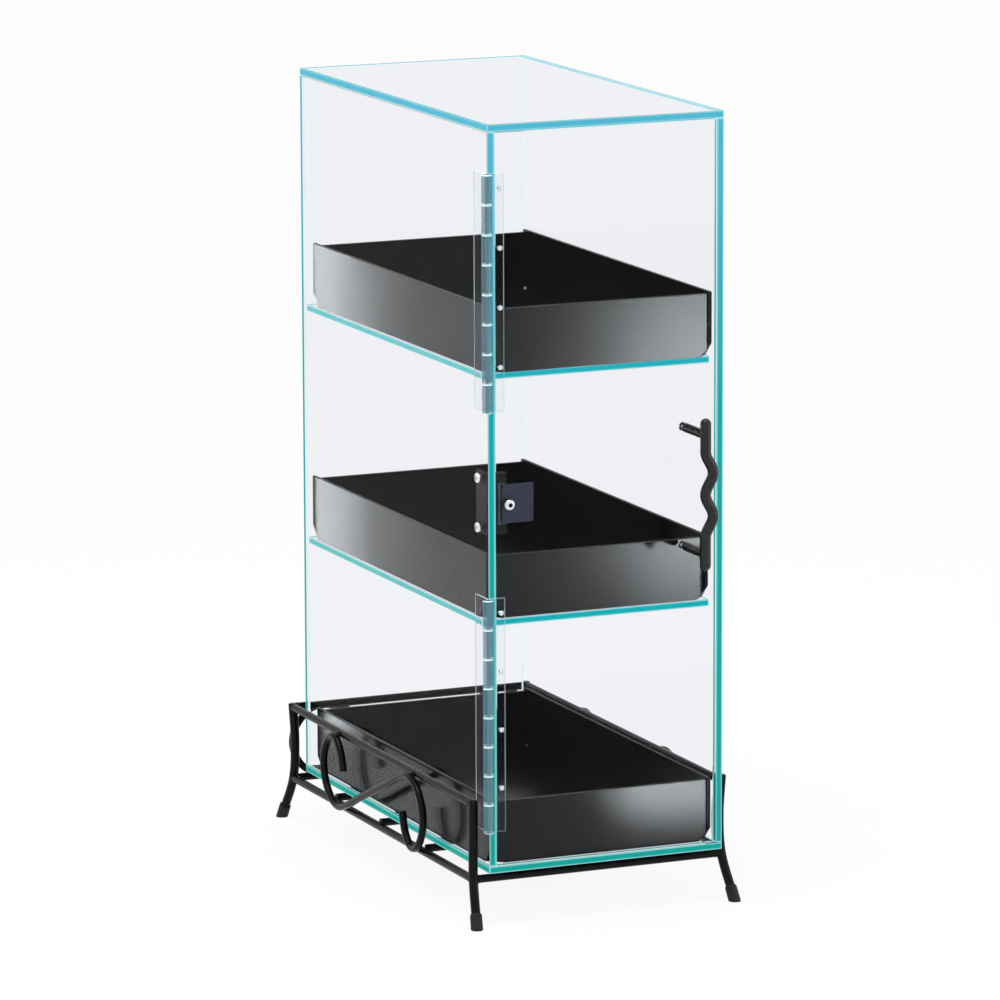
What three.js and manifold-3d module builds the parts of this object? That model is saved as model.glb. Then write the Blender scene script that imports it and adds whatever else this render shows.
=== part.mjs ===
// A counter-top bread display case: a tall clear acrylic box with two shelves and a hinged front door,
// three loose black trays, and a welded black wire stand that the box stands in.
// Millimetres, +Z up. Pieces are placed from the box's front left bottom corner, with X to the right
// along the front and Y to the back. The last lines move the whole to the centre of its footprint.

import * as THREE from 'three';
import { ConvexGeometry } from 'three/addons/geometries/ConvexGeometry.js';
import { mergeVertices } from 'three/addons/utils/BufferGeometryUtils.js';
import Module from 'manifold-3d';

const wasm = await Module();
wasm.setup();

// Clearance between pieces that touch, and the rim left round a moving edge.
const GAP = 0.3;

// Acrylic case: outside size, sheet thickness, and how far the shelves stop behind the front.
const CASE_WIDTH = 216;
const CASE_DEPTH = 415;
const CASE_HEIGHT = 635;
const SHEET = 6;
const SHELF_SETBACK = 16;
const COMPARTMENT = (CASE_HEIGHT - 4 * SHEET) / 3;
const LOWER_SHELF_Z = SHEET + COMPARTMENT;
const UPPER_SHELF_Z = LOWER_SHELF_Z + SHEET + COMPARTMENT;
const INNER_LEFT = SHEET;
const INNER_RIGHT = CASE_WIDTH - SHEET;
const INNER_BACK = CASE_DEPTH - SHEET;

// Door: set between the side panels, with its outer face level with their front edges.
const DOOR_HINGE_GAP = 0.6;
const DOOR_FREE_GAP = 0.8;

// Piano hinges: the pin line stands outside the front left corner.
const HINGE_X = -2.6;
const HINGE_Y = -4.9;
const HINGE_BASES = { lower: 36.5, upper: 394.5 };
const KNUCKLE_COUNT = 8;
const KNUCKLE_PITCH = 25;
const KNUCKLE_GAP = 0.4;
const KNUCKLE_RADIUS = 4.5;
const BORE_RADIUS = 1.8;
const PIN_RADIUS = 1.5;
const LEAF = 1.6;
const CASE_LEAF_END = 24;
const DOOR_LEAF_START = 1.5;
const DOOR_LEAF_END = 14;
const TAB_REACH = 2.6;
const HINGE_SCREW_X = 10.4;
const HINGE_SCREW = { head: 2.3, headHeight: 1.3, shank: 1.1, length: 7, hole: 1.5 };

// Handle: a wavy bar on two posts, centred on the door's height.
const HANDLE_X = 181;
const HANDLE_STANDOFF = 40;
const HANDLE_HALF_LENGTH = 60.3;
const HANDLE_RADIUS = 4.75;
const POST_RADIUS = 4;
const POST_SPACING = 101.6;
const WAVE_LENGTH = 36.7;
const WAVE_DEPTH = 7;
const THREAD_DEPTH = 13;
const HANDLE_SCREW = { head: 4, headHeight: 2.6, shank: 1.9, length: 18, hole: 2.3 };

// Magnetic catch on the left panel, and its strike plate on the door.
const CATCH_Z = 315;
const CATCH_HEIGHT = 52;
const CATCH_FRONT = 8.3;
const CATCH_BACK = 31;
const CATCH_FLANGE = 3;
const CATCH_BLOCK_END = 20;
const CATCH_BLOCK_BACK = 16;
const CATCH_SCREW_Y = 19.5;
const CATCH_SCREW_SPACING = 42;
const CATCH_SCREW = { head: 4.5, headHeight: 2.6, shank: 1.9, length: 9.3, hole: 2.3 };
const MAGNET = { start: 11.8, end: 18.2, depth: 5.4, height: 35.4 };
const STRIKE = { start: 14.3, end: 43, height: 33, thickness: 1.6 };
const STRIKE_SCREW_X = 19;
const STRIKE_SCREW = { head: 4.75, headHeight: 2.8, shank: 1.9, length: 8, hole: 2.3 };

// Trays: folded sheet with open lower corners.
const TRAY_WIDTH = 200;
const TRAY_DEPTH = 389;
const TRAY_HEIGHT = 56;
const TRAY_SHEET = 3;
const FLAP_INSET = 2;
const FLAP_DROP = 2;
const FLAP_SLIT = 0.15;
const TRAY_CORNER = 12;
const TRAY_LEFT = (CASE_WIDTH - TRAY_WIDTH) / 2;
const TRAY_FRONTS = { lower: 8, middle: 14, upper: 8 };

// Stand: rods beside the case, three bars under it, bowed legs with rubber tips, and scrolls.
const LEG_RADIUS = 4;
const RAIL_RADIUS = 3.5;
const SIDE_OFFSET = 7.6;
const LEG_FRONT_Y = 17;
const LEG_BACK_Y = 427;
const TOP_RAIL_Z = 57.5;
const LOW_RAIL_Z = -7.8;
const FLOOR_Z = -47;
const LEG_END_Z = -41;
const WAIST = { z: 26, inX: 1, inY: 2.4 };
const FOOT_OUT = { x: 3.8, y: 15 };
const CROSS_BAR_COUNT = 3;
const TIP_RADIUS = 5.5;
const TIP_LENGTH = 18;
const TIP_BORE_RADIUS = 4.4;
const TIP_GRIP = 11;

const acrylic = { color: 0xdcecee, roughness: 0.04, metalness: 0, transparent: true, opacity: 0.3 };
const hingePlastic = { color: 0x9fc6d2, roughness: 0.08, metalness: 0, transparent: true, opacity: 0.5 };
const blackPlastic = { color: 0x17181a, roughness: 0.3, metalness: 0 };
const blackRod = { color: 0x0b0b0c, roughness: 0.25, metalness: 0.2 };
const satinBlack = { color: 0x18191b, roughness: 0.45, metalness: 0.2 };
const rubber = { color: 0x141414, roughness: 0.75, metalness: 0 };
const chrome = { color: 0xc9ccd0, roughness: 0.15, metalness: 1 };
const magnetSteel = { color: 0x3a3b3d, roughness: 0.4, metalness: 0.8 };

const assembly = new THREE.Group();

function addPiece(name, geometry, look) {
  const mesh = new THREE.Mesh(geometry, new THREE.MeshStandardMaterial(look));
  mesh.name = name;
  assembly.add(mesh);
}

// Closed solids for joining and cutting, with the degenerate triangles of poles and seams left out.
function toSolid(geometry) {
  const bare = geometry.clone();
  bare.deleteAttribute('normal');
  bare.deleteAttribute('uv');
  const merged = mergeVertices(bare, 1e-4);
  const index = merged.index.array;
  const triangles = [];
  for (let i = 0; i < index.length; i += 3) {
    const [a, b, c] = [index[i], index[i + 1], index[i + 2]];
    if (a !== b && b !== c && c !== a) {
      triangles.push(a, b, c);
    }
  }
  const vertProperties = new Float32Array(merged.attributes.position.array);
  const triVerts = new Uint32Array(triangles);
  return new wasm.Manifold(new wasm.Mesh({ numProp: 3, vertProperties, triVerts }));
}

function toGeometry(solid) {
  const mesh = solid.getMesh();
  const geometry = new THREE.BufferGeometry();
  geometry.setAttribute('position', new THREE.BufferAttribute(mesh.vertProperties, 3));
  geometry.setIndex(new THREE.BufferAttribute(mesh.triVerts, 1));
  return geometry;
}

function join(...geometries) {
  return toGeometry(geometries.map(toSolid).reduce((whole, piece) => whole.add(piece)));
}

function cut(geometry, ...tools) {
  return toGeometry(tools.map(toSolid).reduce((left, tool) => left.subtract(tool), toSolid(geometry)));
}

function block(x0, x1, y0, y1, z0, z1) {
  const geometry = new THREE.BoxGeometry(x1 - x0, y1 - y0, z1 - z0);
  return geometry.translate((x0 + x1) / 2, (y0 + y1) / 2, (z0 + z1) / 2);
}

// A round section as a regular polygon.
function ring(radius, sides) {
  const points = [];
  for (let i = 0; i < sides; i += 1) {
    const angle = (2 * Math.PI * (i + 0.5)) / sides;
    points.push(new THREE.Vector2(radius * Math.cos(angle), radius * Math.sin(angle)));
  }
  return points;
}

function rod(curve, radius, steps, sides = 12) {
  const section = new THREE.Shape(ring(radius, sides));
  return new THREE.ExtrudeGeometry(section, { extrudePath: curve, steps, bevelEnabled: false });
}

function straightRod(from, to, radius, sides = 12) {
  const line = new THREE.LineCurve3(new THREE.Vector3(...from), new THREE.Vector3(...to));
  return rod(line, radius, 1, sides);
}

// A flat sheet with round holes: across and up are its in-plane directions, and the sheet's
// thickness grows along across x up from the plane that the origin lies in.
function sheet(origin, across, up, width, height, thickness, holes) {
  const outline = new THREE.Shape();
  outline.moveTo(0, 0);
  outline.lineTo(width, 0);
  outline.lineTo(width, height);
  outline.lineTo(0, height);
  outline.closePath();
  for (const hole of holes) {
    const rim = ring(hole.radius, 12).map((p) => p.add(new THREE.Vector2(hole.across, hole.up)));
    outline.holes.push(new THREE.Path(rim));
  }
  const geometry = new THREE.ExtrudeGeometry(outline, { depth: thickness, bevelEnabled: false });
  const out = new THREE.Vector3().crossVectors(across, up);
  geometry.applyMatrix4(new THREE.Matrix4().makeBasis(across, up, out));
  return geometry.translate(...origin);
}

const X_AXIS = new THREE.Vector3(1, 0, 0);
const Y_AXIS = new THREE.Vector3(0, 1, 0);
const Z_AXIS = new THREE.Vector3(0, 0, 1);

// A pan-head screw whose head sits on the plane through the given point and whose shank runs along
// the direction.
function screw(at, direction, { head, headHeight, shank, length }) {
  const profile = [
    [0, -headHeight],
    [head * 0.62, -headHeight * 0.9],
    [head, -headHeight * 0.45],
    [head, 0],
    [shank, 0],
    [shank, length],
    [0, length],
  ].map(([r, along]) => new THREE.Vector2(r, along));
  const geometry = new THREE.LatheGeometry(profile, 12);
  geometry.applyQuaternion(new THREE.Quaternion().setFromUnitVectors(Y_AXIS, direction));
  return geometry.translate(...at);
}

// Case panels and shelves.
const SIDE_BOTTOM = SHEET + GAP;
const SIDE_HEIGHT = CASE_HEIGHT - 2 * SIDE_BOTTOM;
const CATCH_SCREW_ZS = {
  lower: CATCH_Z - CATCH_SCREW_SPACING / 2,
  upper: CATCH_Z + CATCH_SCREW_SPACING / 2,
};
const catchHoles = Object.values(CATCH_SCREW_ZS).map((z) => (
  { across: CATCH_SCREW_Y, up: z - SIDE_BOTTOM, radius: CATCH_SCREW.hole }
));
addPiece('left_panel',
  sheet([0, 0, SIDE_BOTTOM], Y_AXIS, Z_AXIS, CASE_DEPTH, SIDE_HEIGHT, SHEET, catchHoles), acrylic);
addPiece('right_panel',
  sheet([INNER_RIGHT, 0, SIDE_BOTTOM], Y_AXIS, Z_AXIS, CASE_DEPTH, SIDE_HEIGHT, SHEET, []), acrylic);
const insideX = [INNER_LEFT + GAP, INNER_RIGHT - GAP];
addPiece('back_panel',
  block(...insideX, INNER_BACK, CASE_DEPTH, SIDE_BOTTOM, SIDE_BOTTOM + SIDE_HEIGHT), acrylic);
addPiece('bottom_panel', block(0, CASE_WIDTH, 0, CASE_DEPTH, 0, SHEET), acrylic);
addPiece('top_panel', block(0, CASE_WIDTH, 0, CASE_DEPTH, CASE_HEIGHT - SHEET, CASE_HEIGHT), acrylic);
for (const [name, z] of [['lower_shelf', LOWER_SHELF_Z], ['upper_shelf', UPPER_SHELF_Z]]) {
  addPiece(name, block(...insideX, SHELF_SETBACK, INNER_BACK - GAP, z, z + SHEET), acrylic);
}

// Door panel, drilled for the hinge, handle and strike plate screws.
const DOOR_LEFT = INNER_LEFT + DOOR_HINGE_GAP;
const DOOR_RIGHT = INNER_RIGHT - DOOR_FREE_GAP;
const DOOR_BOTTOM = SHEET + DOOR_HINGE_GAP;
const DOOR_HEIGHT = CASE_HEIGHT - 2 * DOOR_BOTTOM;
const HANDLE_Z = CASE_HEIGHT / 2;
const POST_ZS = { lower: HANDLE_Z - POST_SPACING / 2, upper: HANDLE_Z + POST_SPACING / 2 };
const isDoorKnuckle = (k) => k % 2 === 1;
const knuckleMiddle = (base, k) => base + (k + 0.5) * KNUCKLE_PITCH;
const knuckles = [...Array(KNUCKLE_COUNT).keys()];
const hingeScrewZs = (base) => knuckles.filter(isDoorKnuckle).map((k) => knuckleMiddle(base, k));
const doorHole = (x, z, radius) => ({ across: x - DOOR_LEFT, up: z - DOOR_BOTTOM, radius });
const doorHoles = [
  ...Object.values(HINGE_BASES).flatMap(hingeScrewZs).map((z) => (
    doorHole(HINGE_SCREW_X, z, HINGE_SCREW.hole)
  )),
  ...Object.values(POST_ZS).map((z) => doorHole(HANDLE_X, z, HANDLE_SCREW.hole)),
  doorHole(STRIKE_SCREW_X, CATCH_Z, STRIKE_SCREW.hole),
];
addPiece('door_panel', sheet([DOOR_LEFT, SHEET, DOOR_BOTTOM], X_AXIS, Z_AXIS,
  DOOR_RIGHT - DOOR_LEFT, DOOR_HEIGHT, SHEET, doorHoles), acrylic);

// Piano hinges: even knuckles belong to the leaf on the case, odd ones to the leaf on the door.
function knuckle(base, k) {
  const half = (KNUCKLE_PITCH - KNUCKLE_GAP) / 2;
  const z = knuckleMiddle(base, k);
  return straightRod([HINGE_X, HINGE_Y, z - half], [HINGE_X, HINGE_Y, z + half], KNUCKLE_RADIUS, 20);
}

function hingeLeaf(base, owned, plate, tab) {
  const half = (KNUCKLE_PITCH - KNUCKLE_GAP) / 2;
  const pieces = knuckles.filter(owned).flatMap((k) => {
    const z = knuckleMiddle(base, k);
    return [knuckle(base, k), block(...tab, z - half, z + half)];
  });
  const top = base + KNUCKLE_COUNT * KNUCKLE_PITCH;
  const bore = straightRod([HINGE_X, HINGE_Y, base - 1], [HINGE_X, HINGE_Y, top + 1], BORE_RADIUS);
  return cut(join(plate, ...pieces), bore);
}

for (const [level, base] of Object.entries(HINGE_BASES)) {
  const length = KNUCKLE_COUNT * KNUCKLE_PITCH;
  const casePlate = block(-GAP - LEAF, -GAP, 0, CASE_LEAF_END, base, base + length);
  const caseTab = [-GAP - LEAF, -GAP, -TAB_REACH, 1];
  const isCaseKnuckle = (k) => !isDoorKnuckle(k);
  addPiece(`${level}_hinge_case_leaf`, hingeLeaf(base, isCaseKnuckle, casePlate, caseTab), hingePlastic);

  const screwHoles = hingeScrewZs(base).map((z) => (
    { across: HINGE_SCREW_X - DOOR_LEAF_START, up: z - base, radius: HINGE_SCREW.hole }
  ));
  const doorPlate = sheet([DOOR_LEAF_START, -GAP, base], X_AXIS, Z_AXIS,
    DOOR_LEAF_END - DOOR_LEAF_START, length, LEAF, screwHoles);
  const doorTab = [-TAB_REACH / 2, DOOR_LEAF_START + 1, -GAP - LEAF, -GAP];
  addPiece(`${level}_hinge_door_leaf`, hingeLeaf(base, isDoorKnuckle, doorPlate, doorTab), hingePlastic);

  const pinEnds = [[HINGE_X, HINGE_Y, base], [HINGE_X, HINGE_Y, base + length]];
  addPiece(`${level}_hinge_pin`, straightRod(...pinEnds, PIN_RADIUS), hingePlastic);

  hingeScrewZs(base).forEach((z, i) => {
    const at = [HINGE_SCREW_X, -2 * GAP - LEAF, z];
    addPiece(`${level}_hinge_screw_${i + 1}`, screw(at, Y_AXIS, HINGE_SCREW), chrome);
  });
}

// Handle: the bar waves twice towards the door's free edge between its straight ends.
class HandleCurve extends THREE.Curve {
  getPoint(t, target = new THREE.Vector3()) {
    const along = (2 * t - 1) * HANDLE_HALF_LENGTH;
    const inWave = Math.abs(along) < WAVE_LENGTH;
    const swell = inWave ? (WAVE_DEPTH * (1 - Math.cos((2 * Math.PI * along) / WAVE_LENGTH))) / 2 : 0;
    return target.set(HANDLE_X + swell, -HANDLE_STANDOFF, HANDLE_Z + along);
  }
}

const barTube = rod(new HandleCurve(), HANDLE_RADIUS, 44);
const barEnds = [-1, 1].map((side) => {
  const end = new THREE.SphereGeometry(HANDLE_RADIUS * 0.98, 12, 8);
  end.rotateX(Math.PI / 2);
  return end.translate(HANDLE_X, -HANDLE_STANDOFF, HANDLE_Z + side * HANDLE_HALF_LENGTH);
});
addPiece('handle_bar', join(barTube, ...barEnds), satinBlack);
for (const [level, z] of Object.entries(POST_ZS)) {
  const post = straightRod([HANDLE_X, -GAP, z], [HANDLE_X, -HANDLE_STANDOFF, z], POST_RADIUS);
  const barSeat = straightRod([HANDLE_X, -HANDLE_STANDOFF, z - 10], [HANDLE_X, -HANDLE_STANDOFF, z + 10],
    HANDLE_RADIUS + 2 * GAP);
  const thread = straightRod([HANDLE_X, 1, z], [HANDLE_X, -THREAD_DEPTH, z], HANDLE_SCREW.hole);
  addPiece(`handle_${level}_post`, cut(post, barSeat, thread), satinBlack);
  const head = [HANDLE_X, SHEET + GAP, z];
  addPiece(`handle_${level}_screw`, screw(head, Y_AXIS.clone().negate(), HANDLE_SCREW), chrome);
}

// Catch: a flange on the left panel carries a block with a bar magnet that faces the strike plate.
const catchBottom = CATCH_Z - CATCH_HEIGHT / 2;
const catchTop = CATCH_Z + CATCH_HEIGHT / 2;
const flangeInner = INNER_LEFT + GAP;
const flangeOuter = flangeInner + CATCH_FLANGE;
const flange = block(flangeInner, flangeOuter, CATCH_FRONT, CATCH_BACK, catchBottom, catchTop);
const magnetBlock = block(flangeOuter - 1, CATCH_BLOCK_END, CATCH_FRONT, CATCH_BLOCK_BACK,
  catchBottom, catchTop);
const magnetFront = CATCH_FRONT + GAP;
const magnetBack = magnetFront + MAGNET.depth;
const magnetHalf = MAGNET.height / 2;
const magnetSlot = block(MAGNET.start - GAP, MAGNET.end + GAP, CATCH_FRONT - 1, magnetBack + GAP,
  CATCH_Z - magnetHalf - GAP, CATCH_Z + magnetHalf + GAP);
const catchThreads = Object.values(CATCH_SCREW_ZS).map((z) => (
  straightRod([flangeInner - 1, CATCH_SCREW_Y, z], [flangeOuter + 1, CATCH_SCREW_Y, z], CATCH_SCREW.hole)
));
addPiece('catch_body', cut(join(flange, magnetBlock), magnetSlot, ...catchThreads), satinBlack);
addPiece('catch_magnet', block(MAGNET.start, MAGNET.end, magnetFront, magnetBack,
  CATCH_Z - magnetHalf, CATCH_Z + magnetHalf), magnetSteel);
for (const [level, z] of Object.entries(CATCH_SCREW_ZS)) {
  addPiece(`catch_${level}_screw`, screw([-GAP, CATCH_SCREW_Y, z], X_AXIS, CATCH_SCREW), chrome);
}
const strikeHole = {
  across: STRIKE_SCREW_X - STRIKE.start,
  up: STRIKE.height / 2,
  radius: STRIKE_SCREW.hole,
};
addPiece('strike_plate', sheet([STRIKE.start, SHEET + GAP + STRIKE.thickness, CATCH_Z - STRIKE.height / 2],
  X_AXIS, Z_AXIS, STRIKE.end - STRIKE.start, STRIKE.height, STRIKE.thickness, [strikeHole]), satinBlack);
addPiece('strike_screw', screw([STRIKE_SCREW_X, -GAP, CATCH_Z], Y_AXIS, STRIKE_SCREW), chrome);

// Trays: side walls, floor and end flaps of one folded sheet. The flaps stand between the walls with a
// hairline slit at each end, and the four lower corners are cut away.
function tray(front, floorZ) {
  const walls = [[0, TRAY_SHEET], [TRAY_WIDTH - TRAY_SHEET, TRAY_WIDTH]].map(([x0, x1]) => (
    block(x0, x1, 0, TRAY_DEPTH, 0, TRAY_HEIGHT)
  ));
  const flapStart = TRAY_SHEET + FLAP_SLIT;
  const flaps = [FLAP_INSET, TRAY_DEPTH - FLAP_INSET - TRAY_SHEET].map((y) => (
    block(flapStart, TRAY_WIDTH - flapStart, y, y + TRAY_SHEET, 0, TRAY_HEIGHT - FLAP_DROP)
  ));
  const floor = block(0, TRAY_WIDTH, FLAP_INSET, TRAY_DEPTH - FLAP_INSET, 0, TRAY_SHEET);
  const past = 2;
  const reach = TRAY_CORNER + 2 * past;
  const cornerCuts = [[0, 1], [TRAY_WIDTH, -1]].flatMap(([x, sx]) => (
    [[0, 1], [TRAY_DEPTH, -1]].map(([y, sy]) => new ConvexGeometry([
      new THREE.Vector3(x - sx * past, y - sy * past, -past),
      new THREE.Vector3(x + sx * reach, y - sy * past, -past),
      new THREE.Vector3(x - sx * past, y + sy * reach, -past),
      new THREE.Vector3(x - sx * past, y - sy * past, reach),
    ]))
  ));
  const folded = cut(join(floor, ...walls, ...flaps), ...cornerCuts);
  return folded.translate(TRAY_LEFT, front, floorZ);
}

const TRAY_FLOORS = { lower: SHEET, middle: LOWER_SHELF_Z + SHEET, upper: UPPER_SHELF_Z + SHEET };
for (const [level, z] of Object.entries(TRAY_FLOORS)) {
  addPiece(`${level}_tray`, tray(TRAY_FRONTS[level], z + GAP), blackPlastic);
}

// Stand legs: each bows in at the waist and flares out to its foot, away from the stand's middle.
const SIDE_XS = { left: -SIDE_OFFSET, right: CASE_WIDTH + SIDE_OFFSET };
const END_YS = { front: LEG_FRONT_Y, back: LEG_BACK_Y };
const legs = {};
for (const [end, y] of Object.entries(END_YS)) {
  for (const [side, x] of Object.entries(SIDE_XS)) {
    const outX = side === 'left' ? -1 : 1;
    const outY = end === 'front' ? -1 : 1;
    const path = new THREE.CatmullRomCurve3([
      new THREE.Vector3(x, y, TOP_RAIL_Z + RAIL_RADIUS),
      new THREE.Vector3(x - outX * WAIST.inX, y - outY * WAIST.inY, WAIST.z),
      new THREE.Vector3(x, y, LOW_RAIL_Z),
      new THREE.Vector3(x + outX * FOOT_OUT.x, y + outY * FOOT_OUT.y, LEG_END_Z),
    ]);
    legs[`${end}_${side}`] = path;
    addPiece(`${end}_${side}_leg`, rod(path, LEG_RADIUS, 14), blackRod);
  }
}

// Rubber tips: cups on the leg ends, cut flat where they stand.
const aboveFloor = block(-100, CASE_WIDTH + 100, -100, CASE_DEPTH + 100, FLOOR_Z, TOP_RAIL_Z);
for (const [corner, path] of Object.entries(legs)) {
  const profile = [
    [0, -TIP_GRIP],
    [TIP_RADIUS - 1.2, -TIP_GRIP],
    [TIP_RADIUS, -TIP_GRIP + 3],
    [TIP_RADIUS, TIP_LENGTH - TIP_GRIP],
    [TIP_BORE_RADIUS, TIP_LENGTH - TIP_GRIP],
    [TIP_BORE_RADIUS, -GAP],
    [0, -GAP],
  ].map(([r, along]) => new THREE.Vector2(r, along));
  const cup = new THREE.LatheGeometry(profile, 14);
  const upLeg = path.getTangent(1).negate();
  cup.applyQuaternion(new THREE.Quaternion().setFromUnitVectors(Y_AXIS, upLeg));
  cup.translate(...path.getPoint(1).toArray());
  addPiece(`${corner}_tip`, toGeometry(toSolid(cup).intersect(toSolid(aboveFloor))), rubber);
}

// Rails: straight rods between the legs, hollowed at their ends to sit against them. Each starts where
// it is clear of the rail that meets the same leg from the other side.
const legSeats = Object.values(legs).map((path) => rod(path, LEG_RADIUS + 2 * GAP, 14));
const RAIL_START = RAIL_RADIUS + GAP;
const railYs = [LEG_FRONT_Y + RAIL_START, LEG_BACK_Y - RAIL_START];
const railXs = [SIDE_XS.left + RAIL_START, SIDE_XS.right - RAIL_START];
function rail(name, from, to) {
  addPiece(name, cut(straightRod(from, to, RAIL_RADIUS), ...legSeats), blackRod);
}
for (const [level, z] of [['top', TOP_RAIL_Z], ['low', LOW_RAIL_Z]]) {
  for (const [side, x] of Object.entries(SIDE_XS)) {
    rail(`${side}_${level}_rail`, [x, railYs[0], z], [x, railYs[1], z]);
  }
  rail(`back_${level}_rail`, [railXs[0], LEG_BACK_Y, z], [railXs[1], LEG_BACK_Y, z]);
}
rail('front_low_rail', [railXs[0], LEG_FRONT_Y, LOW_RAIL_Z], [railXs[1], LEG_FRONT_Y, LOW_RAIL_Z]);

// Cross bars: they carry the case, and are notched over the low side rails.
const barSeats = Object.values(SIDE_XS).map((x) => (
  straightRod([x, LEG_FRONT_Y, LOW_RAIL_Z], [x, LEG_BACK_Y, LOW_RAIL_Z], RAIL_RADIUS + 2 * GAP)
));
const crossBarZ = -GAP - RAIL_RADIUS;
['front', 'middle', 'back'].forEach((place, i) => {
  const y = LEG_FRONT_Y + ((LEG_BACK_Y - LEG_FRONT_Y) * (i + 1)) / (CROSS_BAR_COUNT + 1);
  const bar = straightRod([SIDE_XS.left, y, crossBarZ], [SIDE_XS.right, y, crossBarZ], RAIL_RADIUS);
  addPiece(`${place}_cross_bar`, cut(bar, ...barSeats), blackRod);
});

// Scrolls: a lazy S of rod on the outside of the rails. One half is drawn, and the other half is the
// same turned half a turn about the middle.
const SCROLL_HALF = [[67, 3], [73, 19], [86, 30.5], [101, 26.5], [112, 10], [112, -7], [101, -23],
  [82, -31], [60, -25.5], [30, -12.5]];
const SCROLL_Z = (TOP_RAIL_Z + LOW_RAIL_Z) / 2;
const SCROLL_OUT = 2 * RAIL_RADIUS + GAP;
const otherHalf = SCROLL_HALF.map(([u, w]) => [-u, -w]).reverse();
const scrollPoints = [...SCROLL_HALF, [0, 0], ...otherHalf];
function scroll(name, place) {
  const path = new THREE.CatmullRomCurve3(scrollPoints.map(([u, w]) => place(u, SCROLL_Z + w)));
  addPiece(name, rod(path, RAIL_RADIUS, 60, 10), blackRod);
}
const SCROLL_MID_Y = (LEG_FRONT_Y + LEG_BACK_Y) / 2;
scroll('left_scroll', (u, z) => new THREE.Vector3(SIDE_XS.left - SCROLL_OUT, SCROLL_MID_Y + u, z));
scroll('right_scroll', (u, z) => new THREE.Vector3(SIDE_XS.right + SCROLL_OUT, SCROLL_MID_Y + u, z));
scroll('back_scroll', (u, z) => new THREE.Vector3(CASE_WIDTH / 2 + u, LEG_BACK_Y + SCROLL_OUT, z));

// The part's origin is the middle of its footprint, on the surface that it stands on.
const extent = new THREE.Box3().setFromObject(assembly, true);
assembly.position.set(
  -(extent.min.x + extent.max.x) / 2,
  -(extent.min.y + extent.max.y) / 2,
  -FLOOR_Z,
);

export default assembly;
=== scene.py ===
import math

import bmesh
import bpy
from mathutils import Matrix, Vector


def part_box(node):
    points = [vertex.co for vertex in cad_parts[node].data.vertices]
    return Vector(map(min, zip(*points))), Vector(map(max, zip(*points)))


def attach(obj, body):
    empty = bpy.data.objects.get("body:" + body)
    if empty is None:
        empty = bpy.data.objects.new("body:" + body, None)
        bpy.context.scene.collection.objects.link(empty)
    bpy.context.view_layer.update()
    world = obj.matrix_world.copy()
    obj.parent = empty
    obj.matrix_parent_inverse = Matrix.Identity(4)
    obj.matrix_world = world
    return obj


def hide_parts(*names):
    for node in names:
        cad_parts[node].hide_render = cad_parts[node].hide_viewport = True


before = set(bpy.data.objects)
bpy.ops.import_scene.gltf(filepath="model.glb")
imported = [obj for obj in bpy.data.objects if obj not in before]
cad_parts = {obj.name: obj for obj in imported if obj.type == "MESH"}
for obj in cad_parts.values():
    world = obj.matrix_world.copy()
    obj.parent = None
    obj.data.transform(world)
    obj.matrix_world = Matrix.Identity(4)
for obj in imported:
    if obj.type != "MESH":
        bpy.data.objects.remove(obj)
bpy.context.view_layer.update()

# Stand legs: four rods of 8 mm steel in black gloss paint, bowed in at the waist and flared to the foot.
# The rails are welded between them. Sizes are in millimetres from the case's front left bottom corner, as
# the stand is set out, and radii and eased edges are in metres.
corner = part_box("bottom_panel")[0]
CASE_WIDTH, LEG_OUT = 216.0, 7.6
LEFT_X, RIGHT_X, FRONT_Y, BACK_Y = -LEG_OUT, CASE_WIDTH + LEG_OUT, 17.0, 427.0
TOP_RAIL_Z, LOW_RAIL_Z = 57.5, -7.8


def at(x, y, z):
    """A point in metres, from millimetres off the case's corner."""
    return corner + Vector((x, y, z)) / 1000


def smooth_line(knots, count):
    """Evenly spaced points on a smooth line through the knots."""
    ends = [2 * knots[0] - knots[1], *knots, 2 * knots[-1] - knots[-2]]
    fine, steps = [], 40
    for p0, p1, p2, p3 in zip(ends, ends[1:], ends[2:], ends[3:]):
        a, b, c = ((q - p).length ** 0.5 for p, q in ((p0, p1), (p1, p2), (p2, p3)))
        leave = ((p1 - p0) / a - (p2 - p0) / (a + b) + (p2 - p1) / b) * b
        reach = ((p2 - p1) / b - (p3 - p1) / (b + c) + (p3 - p2) / c) * b
        for i in range(steps):
            t = i / steps
            fine.append((2 * t**3 - 3 * t**2 + 1) * p1 + (t**3 - 2 * t**2 + t) * leave
                        + (3 * t**2 - 2 * t**3) * p2 + (t**3 - t**2) * reach)
    fine.append(knots[-1])
    lengths = [0.0]
    for p, q in zip(fine, fine[1:]):
        lengths.append(lengths[-1] + (q - p).length)
    points, k = [], 0
    for i in range(count):
        want = lengths[-1] * i / (count - 1)
        while k < len(fine) - 2 and lengths[k + 1] < want:
            k += 1
        share = (want - lengths[k]) / (lengths[k + 1] - lengths[k])
        points.append(fine[k].lerp(fine[k + 1], min(1.0, share)))
    return points


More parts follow.
